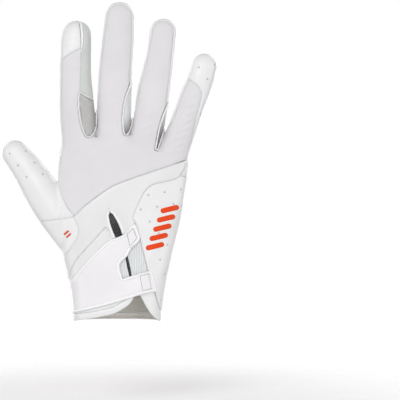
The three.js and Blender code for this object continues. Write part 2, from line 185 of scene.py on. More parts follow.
worn = to_object("worn_form", form)
blend = worn.modifiers.new("blend", "REMESH")
blend.mode = "VOXEL"
blend.voxel_size = 0.0008
soften = worn.modifiers.new("soften", "SMOOTH")
soften.iterations = 14
settle(worn)

# The skins lie in soft folds: gathers at the thumb's root, crinkles along the little finger, creases over the
# joints and in the palm. Each is a low ridge or dip. Columns: across the hand, up the glove, direction in
# degrees from level, half length and half width in mm, height in mm, side (-1 back, 1 palm).
folds = [
    (-0.305, 0.342, 72, 4, 0.9, 0.5, -1), (-0.33, 0.334, 76, 5, 1, 0.7, -1),
    (-0.358, 0.332, 80, 5, 1, 0.7, -1), (-0.386, 0.331, 85, 5, 1, 0.7, -1),
    (-0.414, 0.331, 90, 5, 1, 0.7, -1), (-0.442, 0.333, 95, 5, 1.1, 0.6, -1),
    (-0.47, 0.336, 99, 5, 1.1, 0.5, -1), (0.555, 0.697, 30, 3, 0.9, 0.5, -1),
    (0.542, 0.672, 30, 3.5, 1, 0.6, -1), (0.528, 0.647, 28, 4, 1, 0.7, -1),
    (0.51, 0.622, 26, 4, 1.1, 0.7, -1), (0.492, 0.598, 24, 4.5, 1.1, 0.7, -1),
    (0.472, 0.574, 22, 4.5, 1.1, 0.65, -1), (0.45, 0.55, 20, 4.5, 1.2, 0.55, -1),
    (0.425, 0.528, 18, 4.5, 1.2, 0.45, -1), (0.218, 0.606, 22, 5, 1.2, 0.35, -1),
    (0.24, 0.584, 20, 5, 1.2, 0.35, -1), (0.36, 0.3, 64, 20, 4, 0.6, -1),
    (0.27, 0.17, 70, 16, 3, -0.4, -1), (-0.17, 0.43, 8, 22, 5, 0.25, -1), (0.1, 0.52, 14, 16, 5, 0.3, -1),
    (-0.28, 0.66, 4, 8, 2, 0.3, -1), (-0.02, 0.68, 3, 8, 2, 0.3, -1), (0.24, 0.65, -8, 8, 2, 0.3, -1),
    (-0.3, 0.79, 3, 8, 1.8, 0.25, -1), (0, 0.8, -3, 8, 1.8, 0.25, -1), (0.28, 0.77, -10, 8, 1.8, 0.25, -1),
    (-0.34, 0.86, 4, 4, 0.7, 0.2, -1), (-0.335, 0.878, 4, 4, 0.7, 0.2, -1),
    (-0.33, 0.897, 4, 4, 0.7, 0.2, -1), (0.33, 0.444, 19, 15, 0.7, 0.3, -1),
    (0, 0.183, 0, 30, 1, -0.5, 1), (-0.28, 0.44, 44, 16, 3.2, -0.45, 1),
    (-0.18, 0.33, 62, 26, 4.5, -0.6, 1), (0.1, 0.47, -12, 26, 2.8, -0.6, 1),
    (0.02, 0.55, 5, 30, 3, 0.5, 1), (-0.28, 0.67, 0, 12, 3, -0.35, 1),
    (-0.02, 0.68, 0, 12, 3, -0.35, 1), (0.24, 0.65, -8, 10, 2, -0.5, 1),
    (-0.3, 0.79, 0, 12, 3, -0.3, 1), (0, 0.8, 0, 12, 3, -0.3, 1), (0.28, 0.77, -10, 10, 2, -0.45, 1),
    (0.5, 0.64, -25, 9, 2, -0.45, 1), (0.2, 0.2, 20, 22, 4, 0.5, 1), (-0.1, 0.16, -14, 22, 3.5, 0.5, 1),
    (0.02, 0.08, 4, 26, 3, 0.35, 1),
]


def rows_of(mesh, what="vertices", of="co", kind=float, each=3):
    """What a mesh's points, edges or faces hold, as rows of numbers."""
    values = np.empty(each * len(getattr(mesh, what)), kind)
    getattr(mesh, what).foreach_get(of, values)
    return values.reshape(-1, each)


mm = 0.001
points, normals = rows_of(worn.data), rows_of(worn.data, "vertex_normals", "vector")
height = np.zeros(len(points))
for across, up, turn, long, wide, high, side in folds:
    x = points[:, 0] - across * hand_width
    z = points[:, 2] - up * glove_length
    c, s = math.cos(math.radians(turn)), math.sin(math.radians(turn))
    shape = np.exp(-((x * c + z * s) / (long * mm)) ** 2 - ((z * c - x * s) / (wide * mm)) ** 2)
    height += high * mm * shape * np.clip(normals[:, 1] * side * 2, 0, 1)
random = np.random.default_rng(7)
wave_count, wave_lengths, wave_height, whole_turn = 14, (0.004, 0.011), 0.00007, 6.28
for wave in range(wave_count):
    course = random.normal(size=3)
    course /= np.linalg.norm(course) * random.uniform(*wave_lengths)
    height += wave_height * np.sin(points @ course + random.uniform(0, whole_turn))
worn.data.vertices.foreach_set("co", (points + normals * height[:, None]).ravel())
worn.data.update()

whole = bmesh.new()
whole.from_mesh(worn.data)
bpy.data.objects.remove(worn)
bmesh.ops.bisect_plane(whole, geom=whole.verts[:] + whole.edges[:] + whole.faces[:], plane_co=(0, 0, 0),
                       plane_no=(0, 0, -1), clear_outer=True)
bmesh.ops.triangulate(whole, faces=whole.faces)

# The side seam runs round the fingers and the hand, a little to the palm side of the middle. The worn form is
# cut in two along it, into the skin of the back and the skin of the palm.
survey = bpy.data.meshes.new("survey")


def places_of(skin, *what):
    """The same for a skin that is still being cut."""
    skin.to_mesh(survey)
    return rows_of(survey, *what)


def split_where(skin, field, snap=6e-5):
    """Cuts the skin's faces along the line where the field is nought."""
    value = field(places_of(skin))
    value[abs(value) < snap] = 0
    ends = places_of(skin, "edges", "vertices", np.int32, 2)
    crossed = np.nonzero(value[ends[:, 0]] * value[ends[:, 1]] < 0)[0]
    skin.verts.ensure_lookup_table()
    skin.edges.ensure_lookup_table()
    skin.verts.index_update()
    on_line = {skin.verts[i] for i in np.nonzero(value == 0)[0]}
    for edge in [skin.edges[i] for i in crossed]:
        start, end = edge.verts
        share = value[start.index] / (value[start.index] - value[end.index])
        on_line.add(bmesh.utils.edge_split(edge, start, float(share))[1])
    for face in {face for vert in on_line for face in vert.link_faces}:
        marks = [loop.vert for loop in face.loops if loop.vert in on_line]
        if len(marks) == 2 and not any(set(edge.verts) == set(marks) for edge in face.edges):
            bmesh.utils.face_split(face, marks[0], marks[1])
    bmesh.ops.triangulate(skin, faces=[face for face in skin.faces if len(face.verts) > 3])


def take(skin, field, keep_rest=True):
    """Cuts the part of the skin where the field is above nought out of it."""
    split_where(skin, field)
    inside = field(places_of(skin, "polygons", "center")) > 0
    part = skin.copy()
    for cut, gone in ((part, ~inside), (skin, inside)):
        if cut is part or keep_rest:
            cut.faces.ensure_lookup_table()
            bmesh.ops.delete(cut, geom=[cut.faces[i] for i in np.nonzero(gone)[0]], context="FACES")
    return part


seam_forward = 0.003
palm_skin = take(whole, lambda at: at[:, 1] - lean(at[:, 2]) - seam_forward)
back_skin = whole
back_whole = back_skin.copy()


# The lining is a soft grey knit that is bonded to the inside of every skin. It shows only in the open cuff.
# Each skin is one sewn shell of outer skin and lining, pulled in along its seams.
def colour(text):
    """A colour written as on the web, as the shader wants it."""
    parts = [int(text[i:i + 2], 16) / 255 for i in (1, 3, 5)]
    return [p / 12.92 if p <= 0.04045 else ((p + 0.055) / 1.055) ** 2.4 for p in parts] + [1.0]


class Tone:
    """A value or colour that changes over a surface."""

    def __init__(self, socket):
        self.socket = socket

    def node(self, kind, settings, inputs, output=0):
        made = self.socket.id_data.nodes.new(kind)
        for key, value in settings.items():
            setattr(made, key, value)
        for key, value in inputs.items():
            if isinstance(value, Tone):
                self.socket.id_data.links.new(value.socket, made.inputs[key])
            else:
                made.inputs[key].default_value = value
        return Tone(made.outputs[output])

    def maths(self, operation, *values):
        return self.node("ShaderNodeMath", {"operation": operation}, dict(enumerate(values)))

    def __add__(self, other): return self.maths("ADD", self, other)
    def __sub__(self, other): return self.maths("SUBTRACT", self, other)
    def __rsub__(self, other): return self.maths("SUBTRACT", other, self)
    def __mul__(self, other): return self.maths("MULTIPLY", self, other)

    def between(self, low, high, first=0.0, last=1.0):
        """Runs from first to last as this goes from low to high, and stays there."""
        return self.node("ShaderNodeMapRange", {"interpolation_type": "SMOOTHSTEP"},
                         {0: self, 1: low, 2: high, 3: first, 4: last})

    def mixed(self, first, second):
        """The first colour where this is 0 and the second where it is 1."""
        first, second = (colour(tone) if isinstance(tone, str) else tone for tone in (first, second))
        return self.node("ShaderNodeMix", {"data_type": "RGBA"}, {0: self, 6: first, 7: second}, 2)

    def noise(self, scale, detail=2.0):
        return self.node("ShaderNodeTexNoise", {}, {"Vector": self, "Scale": scale, "Detail": detail})

    def cells(self, scale, feature="F1", spread=1.0):
        return self.node("ShaderNodeTexVoronoi", {"feature": feature},
                         {"Vector": self, "Scale": scale, "Randomness": spread})

    def axis(self, number):
        return self.node("ShaderNodeSeparateXYZ", {}, {0: self}, number)


class Finish:
    """A material with one shader, whose constant sockets are given by name."""

    def __init__(self, name, **constants):
        self.material = bpy.data.materials.new(name)
        self.material.use_nodes = True
        nodes = self.material.node_tree.nodes
        self.shader = nodes["Principled BSDF"]
        for key, value in constants.items():
            self.shader.inputs[key.replace("_", " ")].default_value = value
        self.at = Tone(nodes.new("ShaderNodeTexCoord").outputs["Object"])

    def attribute(self, name):
        return self.at.node("ShaderNodeAttribute", {"attribute_name": name}, {}, 2)

    def cloudy(self, scale, first, second):
        """Drifts softly from one colour to the other."""
        return self.at.noise(scale).mixed(first, second)

    def painted_seam_shade(self, plain, dark, reach=0.0009, most=0.15):
        """The plain colour with painted shade in the seams: a little darker along the edges of the piece."""
        return self.attribute("edge").between(0, reach, most, 0).mixed(plain, dark)

    def put(self, name, tone):
        self.material.node_tree.links.new(tone.socket, self.shader.inputs[name])

    def relief(self, height, depth):
        """Raises and lowers the surface by the height, in metres of depth."""
        bump = {"Strength": 1.0, "Distance": depth, "Height": height}
        self.put("Normal", self.at.node("ShaderNodeBump", {}, bump))


lining = Finish("lining", Roughness=0.85)
fuzz = lining.at.noise(900, 3)
lining.put("Base Color", (lining.at.noise(60) * 0.6 + fuzz * 0.4).mixed("#D2CEC6", "#ECE9E2"))
lining.relief(fuzz, 0.0003)


def edge_distances(skin):
    """How far each point of the skin is from its nearest edge."""
    rim = [edge for edge in skin.edges if edge.is_boundary]
    tree = KDTree(3 * len(rim))
    for i, edge in enumerate(rim):
        start, end = edge.verts[0].co, edge.verts[1].co
        for j, share in enumerate((0, 1 / 3, 2 / 3)):
            tree.insert(start.lerp(end, share), 3 * i + j)
    tree.balance()
    return np.array([tree.find(vert.co)[2] for vert in skin.verts])


def refine(skin):
    """Divides the skin's faces into finer ones."""
    bmesh.ops.subdivide_edges(skin, edges=skin.edges, cuts=1, use_grid_fill=True)
    bmesh.ops.triangulate(skin, faces=[face for face in skin.faces if len(face.verts) > 3])


def finished(name, form, finish):
    """The form as a smooth piece of its own, in its finish."""
    for face in form.faces:
        face.smooth = True
    piece = to_object(name, form)
    piece.data.materials.append(finish.material)
    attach(piece, "root")
    return piece


def make_skin(name, skin, finish, profile, wall=0.0013, nodes=None):
    """A piece from a cut skin. The profile says how high it stands at a distance from its edge."""
    skin.normal_update()
    edge = edge_distances(skin)
    lift = profile(edge, np.array([vert.co for vert in skin.verts]))
    for vert, by in zip(skin.verts, lift):
        vert.co += vert.normal * float(by)
    piece = finished(name, skin, finish)
    piece.data.attributes.new("edge", "FLOAT", "POINT").data.foreach_set("value", edge.astype(np.float32))
    piece.data.materials.append(lining.material)
    shell = piece.modifiers.new("wall", "SOLIDIFY")
    shell.thickness = wall
    shell.offset = -1
    shell.material_offset = 1
    shell.use_even_offset = False
    settle(piece)
    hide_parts(*(nodes or [name]))
    return piece


def sewn(raised=0.0, dip=0.0005, reach=0.0009):
    """The profile of a skin that is pulled in along its seams."""
    return lambda edge, at: raised - dip * np.exp(-(edge / reach) ** 2)


# White grip skin is thin smooth synthetic leather with a fine grain and a soft gloss. The insert at the
# thumb's seam is a narrow gore of it, sewn in from the palm side.
leather = Finish("white_leather", Roughness=0.42, Coat_Weight=0.1, Coat_Roughness=0.3)
grain = leather.at.cells(1500, "DISTANCE_TO_EDGE")
# Painted shade in the punched holes: each hole's disc is grey in its middle, where the hole's depth lies in
# shade. The same attribute also sinks the disc in the relief.
hole_dip_and_shade = leather.attribute("hole_dip_and_shade").between(0.15, 0.5)
# Painted shade: the leather's colour darkens to grey along the edges of each piece, in its seams.
plain = leather.painted_seam_shade(leather.cloudy(45, "#E8E8E9", "#F3F3F3"), "#A9A9AE")
leather.put("Base Color", hole_dip_and_shade.mixed(plain, "#C6C6CA"))
leather.put("Roughness", leather.at.noise(120).between(0.3, 0.7, 0.36, 0.5))
leather.relief(grain.between(0, 0.25) * 0.5 + leather.at.noise(320) * 0.5 - hole_dip_and_shade * 8, 0.00004)


def place(across, up):
    return np.array([across * hand_width, up * glove_length])


def line(rows):
    """A smooth line through places given in shares of the hand's width and the glove's length."""
    return [place(*row) for row in eased(rows, 6)]


def corners(*rows):
    return [place(*row) for row in rows]


def within(outline, margin=0.006, far=9.0):
    """A field that says how far a place lies inside an outline drawn on the back view."""
    apart = [i == 0 or np.linalg.norm(at - outline[i - 1]) > 1e-6 for i, at in enumerate(outline)]
    ring = np.array(outline)[apart]
    low, high = ring.min(axis=0) - margin, ring.max(axis=0) + margin

    def field(at):
        depth = np.full(len(at), -far)
        close = np.all((at[:, [0, 2]] > low) & (at[:, [0, 2]] < high), axis=1)
        x, z = at[close, 0], at[close, 2]
        near, inside = np.full(len(x), far), np.zeros(len(x), bool)
        for (ax, az), (bx, bz) in zip(ring, np.roll(ring, -1, axis=0)):
            dx, dz = bx - ax, bz - az
            share = np.clip(((x - ax) * dx + (z - az) * dz) / (dx * dx + dz * dz), 0, 1)
            near = np.minimum(near, np.hypot(x - ax - share * dx, z - az - share * dz))
            if dz:
                inside ^= ((az > z) != (bz > z)) & (x < ax + (z - az) * dx / dz)
        depth[close] = np.where(inside, near, -near)
        return depth
    return field


insert = take(palm_skin, within(corners((-0.237, 0.4135), (-0.422, 0.486), (-0.55, 0.47), (-0.5, 0.432))))
make_skin("thumb_seam_insert", insert, leather, sewn())

# The glossy grip skin covers the palm and the fronts of the index and middle fingers. It is a tacky film with
# printed animal spots, bound by a black border that is stitched in white.
grip = Finish("orange_grip", Roughness=0.25, Coat_Weight=0.6, Coat_Roughness=0.06, Specular_IOR_Level=0.1)
spot_drift, spot_scale, speck_scale = 0.0075, 104.0, 190.0
gore_tip = (-0.033, 0.0995)  # the insert's inner corner, where the border gives way to two rows of stitches
flat = grip.at.node("ShaderNodeCombineXYZ", {}, {0: grip.at.axis(0), 1: grip.at.axis(2)})
drift = flat.node("ShaderNodeTexNoise", {}, {"Vector": flat, "Scale": 110.0}, 1)
warped = flat.node("ShaderNodeVectorMath", {"operation": "MULTIPLY_ADD"},
                   {0: drift, 1: (spot_drift, spot_drift, 0), 2: flat})
spot = warped.node("ShaderNodeTexVoronoi", {"voronoi_dimensions": "2D"},
                   {"Vector": warped, "Scale": spot_scale, "Randomness": 0.75})
speck = warped.node("ShaderNodeTexVoronoi", {"voronoi_dimensions": "2D"},
                    {"Vector": warped, "Scale": speck_scale})
opened = flat.noise(120, 1).between(0.57, 0.6)
hearts = spot.between(0.13, 0.18, 1, 0)
rings = spot.between(0.42, 0.45, 1, 0) * (1 - opened) * (1 - hearts * 0.75)
specks = spot.between(0.54, 0.57) * speck.between(0.3, 0.34, 1, 0)
printed = (rings + specks).mixed("#FF4A00", "#B23207")
at_insert = flat.node("ShaderNodeVectorMath", {"operation": "DISTANCE"}, {0: flat, 1: (*gore_tip, 0)}, 1)
border = grip.attribute("edge").between(0.0037, 0.0039, 1, 0) * at_insert.between(0.0141, 0.0147)
grip.put("Base Color", border.mixed(printed, "#050506"))
grip.put("Roughness", grip.at.noise(150).between(0.3, 0.7, 0.12, 0.26))
grip.relief(grip.at.noise(260) * 0.5 + grip.at.cells(1100) * 0.1, 0.00012)
grip_rim = [
    (0.4, 0.5), (0.43, 0.463), (0.41, 0.352), (0.37, 0.263), (0.32, 0.2215), (0.183, 0.198),
    (-0.032, 0.1895), (-0.256, 0.204), (-0.402, 0.242), (-0.52, 0.309), (-0.577, 0.384), (-0.54, 0.42),
    (-0.47, 0.44),
]
palm_grip = take(palm_skin, within(line(grip_rim) + corners(
    (-0.45, 0.55), (-0.47, 0.97), (-0.3, 1.05), (0.2, 1.05), (0.175, 0.83), (0.115, 0.66), (0.108, 0.585),
    (0.2, 0.565), (0.31, 0.54))))


def rim_paths(skin, inset, keep=lambda at: True, spread=4, shortest=7):
    """Lines on the skin that run at a distance inside its edges, as pairs of places and normals."""
    skin.normal_update()
    links = {}
    for edge in skin.edges:
        if edge.is_boundary:
            for at, other in (edge.verts[:], reversed(edge.verts)):
                links.setdefault(at, []).append(other)
    tree = KDTree(len(links))
    for i, vert in enumerate(links):
        tree.insert(vert.co, i)
    tree.balance()
    unused, paths = dict.fromkeys(links), []
    while unused:
        at = next(iter(unused))
        ring = []
        while at:
            del unused[at]
            ring.append(at)
            at = next((other for other in links[at] if other in unused), None)
        spots, normals = [], []
        for i, vert in enumerate(ring):
            tangent = (ring[(i + 1) % len(ring)].co - ring[i - 1].co).normalized()
            inward = sum((face.calc_center_median() - vert.co for face in vert.link_faces), Vector())
            inward -= inward.project(vert.normal) + inward.project(tangent)
            spots.append(vert.co + inward.normalized() * inset)
            normals.append(vert.normal.copy())
        run = []
        for i in range(len(spots)):
            nearby = range(i - spread, i + spread + 1)
            at = sum((spots[j % len(spots)] for j in nearby), Vector()) / len(nearby)
            facing = sum((normals[j % len(spots)] for j in nearby), Vector()).normalized()
            if keep(at) and tree.find(at)[2] > 0.8 * inset:
                run.append((at, facing))
            elif run:
                paths.append(run)
                run = []
        paths.append(run)
    return [path for path in paths if len(path) >= shortest]


class Seat:
    """Finds the outside of a finished piece."""

    def __init__(self, piece):
        self.tree = BVHTree.FromPolygons([vert.co[:] for vert in piece.data.vertices],
                                         [face.vertices[:] for face in piece.data.polygons])

    def near(self, path, above=0.006):
        """The path's places and normals on the piece's outside."""
        found = [self.tree.ray_cast(at + facing * above, -facing, 2 * above)[:2] for at, facing in path]
        return [(at, facing) for at, facing in found if at]

    def seen(self, places):
        """Places drawn on the back view, set on the piece."""
        found = [self.tree.ray_cast(Vector((x, -0.1, z)), Vector((0, 1, 0)))[:2] for x, z in places]
        return [(at, facing) for at, facing in found if at]


def spaced(path, step):
    """Places and normals at equal steps along a path."""
    at = np.array([spot for spot, _ in path])
    facing = np.array([normal for _, normal in path])
    along = np.concatenate([[0], np.cumsum(np.linalg.norm(np.diff(at, axis=0), axis=1))])
    count = max(2, round(along[-1] / step) + 1)
    stops = np.linspace(0, along[-1], count)
    return [tuple(Vector([np.interp(stop, along, values[:, k]) for k in range(3)]) for values in (at, facing))
            for stop in stops]


thread = Finish("thread", Roughness=0.6)
thread.put("Base Color", thread.cloudy(500, "#DCDCDC", "#FFFFFF"))
thread.relief(thread.at.noise(2500), 0.0001)


def stitch(name, paths, finish=thread, long=0.0018, pitch=0.0026, thick=0.00045):
    """One row of thread along each path, as a small round bar for each stitch."""
    one = bmesh.new()
    bmesh.ops.create_uvsphere(one, u_segments=6, v_segments=6, radius=0.5,
                              matrix=Matrix.Rotation(math.pi / 2, 4, "Y"))
    bar_mesh = bpy.data.meshes.new("one_stitch")
    one.to_mesh(bar_mesh)
    row = bmesh.new()
    for path in paths:
        stops = spaced(path, pitch / 4)
        for i in range(2, len(stops) - 2, 4):
            at, facing = stops[i]
            along = (stops[i + 1][0] - stops[i - 1][0]).normalized()
            aside = facing.cross(along).normalized()
            turned = Matrix((along, aside, along.cross(aside))).transposed().to_4x4()
            turned = (Matrix.Translation(at - facing * thick * 0.05) @ turned
                      @ Matrix.Diagonal((long, thick, thick, 1)))
            bar_mesh.transform(turned)
            row.from_mesh(bar_mesh)
            bar_mesh.transform(turned.inverted())
    bpy.data.meshes.remove(bar_mesh)
    one.free()
    finished(name, row, finish)


grip_stitching = rim_paths(palm_grip, 0.0017)
insert_stitching = rim_paths(palm_grip, 0.0032, lambda at: math.dist((at.x, at.z), gore_tip) < 0.0145)
palm_grip = make_skin("palm_grip", palm_grip, grip, sewn())
stitch("palm_grip_stitches", map(Seat(palm_grip).near, grip_stitching + insert_stitching),
       long=0.0015, pitch=0.0023, thick=0.0003)

# The thumb's skin is one piece of white grip skin all round it, back and palm. It is stitched along its seams
# and punched with small holes, as most of the white pieces are.
thumb_base = [(-0.437, 0.49), (-0.432, 0.451), (-0.408, 0.403), (-0.36, 0.36), (-0.301, 0.326)]
thumb_patch_top = [(-0.301, 0.326), (-0.42, 0.318), (-0.75, 0.3)]
thumb_space = within(line(thumb_base) + line(thumb_patch_top)
                     + corners((-1, 0.4), (-0.95, 0.62), (-0.6, 0.62)))
thumb, thumb_front = take(back_skin, thumb_space), take(palm_skin, thumb_space)
front_mesh = bpy.data.meshes.new("thumb_front")
thumb_front.to_mesh(front_mesh)
thumb.from_mesh(front_mesh)
bpy.data.meshes.remove(front_mesh)
bmesh.ops.remove_doubles(thumb, verts=thumb.verts, dist=1e-6)


def perforate(piece, keep=lambda at: True, start=(0.0344, 0.0919), across=(0.0114, 0.002),
              up=(0.0052, 0.0103), radius=0.0009, clear=0.0025, apart=0.0075, away=0.2):
    """Small punched holes in slanting rows, set on the piece's outside and clear of its edges, as discs with
    painted shade in their middles.
    """
    tree, edges, faces = Seat(piece).tree, piece.data.attributes["edge"].data, piece.data.polygons
    views = ((1, -1, 0.6), (1, 1, 0.6), (0, -1, 0.86), (0, 1, 0.86))  # axis, side, least squareness to it
    kept = []
    for (axis, side, squareness), i, j in product(views, range(-16, 17), range(-12, 17)):
        level = start[0] * axis + i * across[0] + j * up[0]
        high = start[1] + i * across[1] + j * up[1]
        source = Vector((level, side * away, high)) if axis else Vector((side * away, level, high))
        course = Vector((0, -side, 0)) if axis else Vector((-side, 0, 0))
        at, facing, face, _ = tree.ray_cast(source, course)
        if at is None or abs(facing[axis]) < squareness or faces[face].material_index:
            continue
        if min(edges[v].value for v in faces[face].vertices) < clear:
            continue
        if keep(at) and all((at - other).length > apart for other, _ in kept):
            kept.append((at, facing))
    dots = bmesh.new()
    deep = dots.verts.layers.float.new("hole_dip_and_shade")
    for at, facing in kept:
        made = bmesh.ops.create_circle(dots, cap_ends=True, cap_tris=True, segments=10,
                                       radius=radius)["verts"]
        turned = facing.to_track_quat("Z", "Y").to_matrix()
        for vert in made:
            centre = vert.co.length < radius / 2
            spot = at + turned @ vert.co
            found = tree.ray_cast(spot + facing * 0.004, -facing, 0.01)[0]
            vert.co = (found or spot) + facing * 0.00005
            # The middle of each disc carries the painted shade of the hole.
            vert[deep] = 1.0 if centre else 0.0
    finished(piece.name + "_holes", dots, leather)


def white_piece(name, skin, inset, profile, seams=lambda at: True):
    """A piece of white grip skin with a row of stitches along its edge."""
    paths = rim_paths(skin, inset, seams)
    piece = make_skin(name, skin, leather, profile)
    stitch(name + "_stitches", map(Seat(piece).near, paths), thick=0.0003)
    return piece


thumb = white_piece("thumb_shell", thumb, 0.0013, sewn(dip=0.0002))
holes_from = 0.1  # on the back, the thumb has holes only above this height
perforate(thumb, lambda at: at.y > 0 or at.z > holes_from)

# The two vents in the back are cut through every panel, and the wrist is left open below the rising edge of
# the cuff, where the slit runs up under the strap.


def lens(start, end, wide, low, grow=0.0):
    """A long opening with pointed ends, widest below its middle where low is more than 1."""
    start, end = place(*start), place(*end)
    along = end - start
    reach = grow / np.linalg.norm(along)
    aside = np.array([-along[1], along[0]]) / np.linalg.norm(along)
    ring = []
    for side in (1, -1):
        for i in range(12):
            share = i / 12 if side > 0 else 1 - i / 12
            arch = math.sin(math.pi * share ** low)
            bulge = wide * arch ** 0.7 / 2 + grow * math.sqrt(arch)
            ring.append(start + along * (share * (1 + 2 * reach) - reach) + aside * (side * bulge))
    return ring


upper_vent = ((-0.042, 0.3415), (0.073, 0.215), 0.0054, 0.8)
lower_vent = ((0.062, 0.24), (0.121, 0.122), 0.0022, 1.1)
cuff_edge = [(-0.4, -0.006), (-0.33, 0.001), (-0.27, 0.0085), (-0.174, 0.0145), (-0.02, 0.029),
             (0.071, 0.049), (0.116, 0.067), (0.133, 0.083)]
slit_edge = [(0.178, 0.086), (0.23, 0.045), (0.275, 0.019), (0.302, 0.0085), (0.33, 0.001), (0.42, -0.006)]
cuff_space = line(cuff_edge) + line(slit_edge) + corners((0.42, -0.05), (-0.4, -0.05))
for opening in (lens(*upper_vent), lens(*lower_vent), cuff_space):
    take(back_skin, within(opening)).free()

# The patch beside the thumb is a small raised panel of white skin. It is sewn on below the thumb's gathers,
# where the hand narrows to the wrist.
raised = sewn(raised=0.0005, dip=0.00025, reach=0.0005)
patch_side = [
    (-0.47, 0.15), (-0.408, 0.184), (-0.333, 0.225), (-0.273, 0.263), (-0.266, 0.293), (-0.301, 0.326),
]
patch = take(back_skin, within(line(patch_side) + line(thumb_patch_top) + corners((-0.75, 0.15))))
make_skin("thumb_side_panel", patch, leather, sewn(raised=0.0003, dip=0.0003, reach=0.0005))

# The side panel is perforated white skin. It wraps round from the palm on the little-finger side and is
# stitched down on the back.
side_line = [(0.456, 0.4525), (0.43, 0.444), (0.351, 0.434), (0.271, 0.426), (0.22, 0.41), (0.184, 0.386),
             (0.151, 0.356), (0.1235, 0.324), (0.137, 0.3125), (0.164, 0.2805), (0.23, 0.1645), (0.2765, 0.1),
             (0.3275, 0.022), (0.36, -0.05)]
side = take(back_skin, within(line(side_line) + corners((0.75, -0.05), (0.75, 0.44))))
perforate(white_piece("side_panel", side, 0.0014, raised, lambda at: at.z > 0.03 and at.y < -0.006))

# The little finger's wrap is white skin that comes round from the palm, over the tip and the outer side, up
# to a rounded seam on the back.
little_line = [(0.456, 0.4525), (0.49, 0.477), (0.516, 0.518), (0.553, 0.5785), (0.582, 0.6355), (0.619, 0.7),
               (0.605, 0.722), (0.59, 0.731), (0.545, 0.748), (0.5, 0.757)]
little = take(back_skin, within(line(little_line)
                                + corners((0.48, 0.8), (0.6, 0.9), (0.85, 0.9), (0.85, 0.44))))
perforate(make_skin("little_finger_wrap", little, leather, sewn()))

# The strip on the index finger's inner side is a smooth greenish grey stretch cloth, with a white piping at
# its upper end.
side_cloth = Finish("side_cloth", Roughness=0.75, Sheen_Weight=0.2)
side_cloth.put("Base Color", side_cloth.cloudy(120, "#CBCFCC", "#DADDDA"))
side_cloth.relief(side_cloth.at.cells(1600), 0.0002)
strip_space = within(line([(-0.24, 0.957), (-0.272, 0.942), (-0.265, 0.915), (-0.257, 0.88), (-0.256, 0.8),
                           (-0.262, 0.7155)]) + corners((-0.175, 0.692), (-0.15, 0.692), (-0.15, 0.957)))
strip = take(back_skin, strip_space)
piping_low, piping_high = 0.835 * glove_length, 0.94 * glove_length


def piped_edge(at, widest=0.0018, lower_taper=0.012, upper_taper=0.004, cut_off=0.00015):
    """Inside the piping, which tapers to both its ends."""
    low = np.sqrt(np.clip((at[:, 2] - piping_low) / lower_taper, 0, 1))
    high = np.sqrt(np.clip((piping_high - at[:, 2]) / upper_taper, 0, 1))
    return widest * low * high - cut_off - strip_space(at)


piping = take(strip, piped_edge)
trim_skin = Finish("white_trim", Roughness=0.4)
trim_skin.put("Base Color", trim_skin.cloudy(60, "#F2F2F2", "#FCFCFC"))
trim_skin.relief(trim_skin.at.noise(900), 0.00008)


def bulged(high, reach, raised=0.0):
    """The profile of a narrow piece that is rounded over from edge to edge."""
    return lambda edge, at: raised + high * np.sqrt(np.clip(edge / reach, 0, 1))


make_skin("index_side_strip", strip, side_cloth, sewn())
make_skin("index_side_strip_piping", piping, trim_skin, bulged(0.0008, 0.0009),
          nodes=["index_side_strip"])

# The gusset below the strip is an open grey mesh, set in at the root of the finger. A white piping binds its
# curved seam.
side_mesh = Finish("side_mesh", Roughness=0.8)
holes = side_mesh.at.cells(1300, spread=0.2).between(0.2, 0.5)
side_mesh.put("Base Color", holes.mixed("#A5A5A4", "#C6C5C3"))
side_mesh.relief(holes, 0.00012)
gusset_space = within(line([(-0.27, 0.7155), (-0.275, 0.68), (-0.27, 0.65), (-0.254, 0.61), (-0.229, 0.579),
                            (-0.205, 0.572), (-0.178, 0.576), (-0.153, 0.594), (-0.14, 0.62),
                            (-0.144, 0.655)]) + corners((-0.15, 0.692), (-0.175, 0.692)))
piping_width = 0.0009


def piped(name, space, finish):
    """A gusset cut from the back, with a white piping along its seams with the back."""
    edged = take(back_skin, space)
    trim = take(edged, lambda at: piping_width - space(at))
    make_skin(name, edged, finish, sewn())
    make_skin(name + "_piping", trim, trim_skin, bulged(0.0006, piping_width / 2, 0.0001),
              nodes=[name])


piped("index_gusset", gusset_space, side_mesh)

# The index finger's cap is white grip skin that comes over the tip from the palm. It is stitched down along a
# slanting seam on the back.
cap = take(back_skin, within(corners((-0.45, 0.812), (-0.397, 0.8175), (-0.253, 0.8535), (-0.15, 0.87),
                                     (-0.15, 1), (-0.45, 1))))
white_piece("index_tip_cap", cap, 0.0012, sewn())

# The gussets beside the middle and ring fingers are narrow gores of smooth cloth, with painted shade deep in
# the webs.
# Each is bound with a white piping.
web_cloth = Finish("web_cloth", Roughness=0.75, Sheen_Weight=0.2)
# Painted shade: the cloth's colour darkens to dark grey towards the bottom of each web, where the gap between
# the fingers lies in shade.
web_shade = web_cloth.at.axis(2).between(0.57 * glove_length, 0.65 * glove_length, 1, 0)
web_cloth.put("Base Color", web_shade.mixed(web_cloth.cloudy(120, "#DDDFDE", "#EAEBEA"), "#7E7E81"))
web_cloth.relief(web_cloth.at.cells(1600), 0.0002)
middle = within(corners((0.099, 0.75)) + line([(0.099, 0.742), (0.06, 0.69), (0.043, 0.635), (0.047, 0.595),
                                             (0.062, 0.578), (0.088, 0.584), (0.115, 0.608)])
                + corners((0.12, 0.645), (0.15, 0.75)))
piped("middle_gusset", middle, web_cloth)
ring = within(line([(0.371, 0.684), (0.313, 0.613), (0.277, 0.535)])
              + corners((0.3, 0.53), (0.322, 0.56), (0.367, 0.62), (0.403, 0.684)))
piped("ring_gusset", ring, web_cloth)

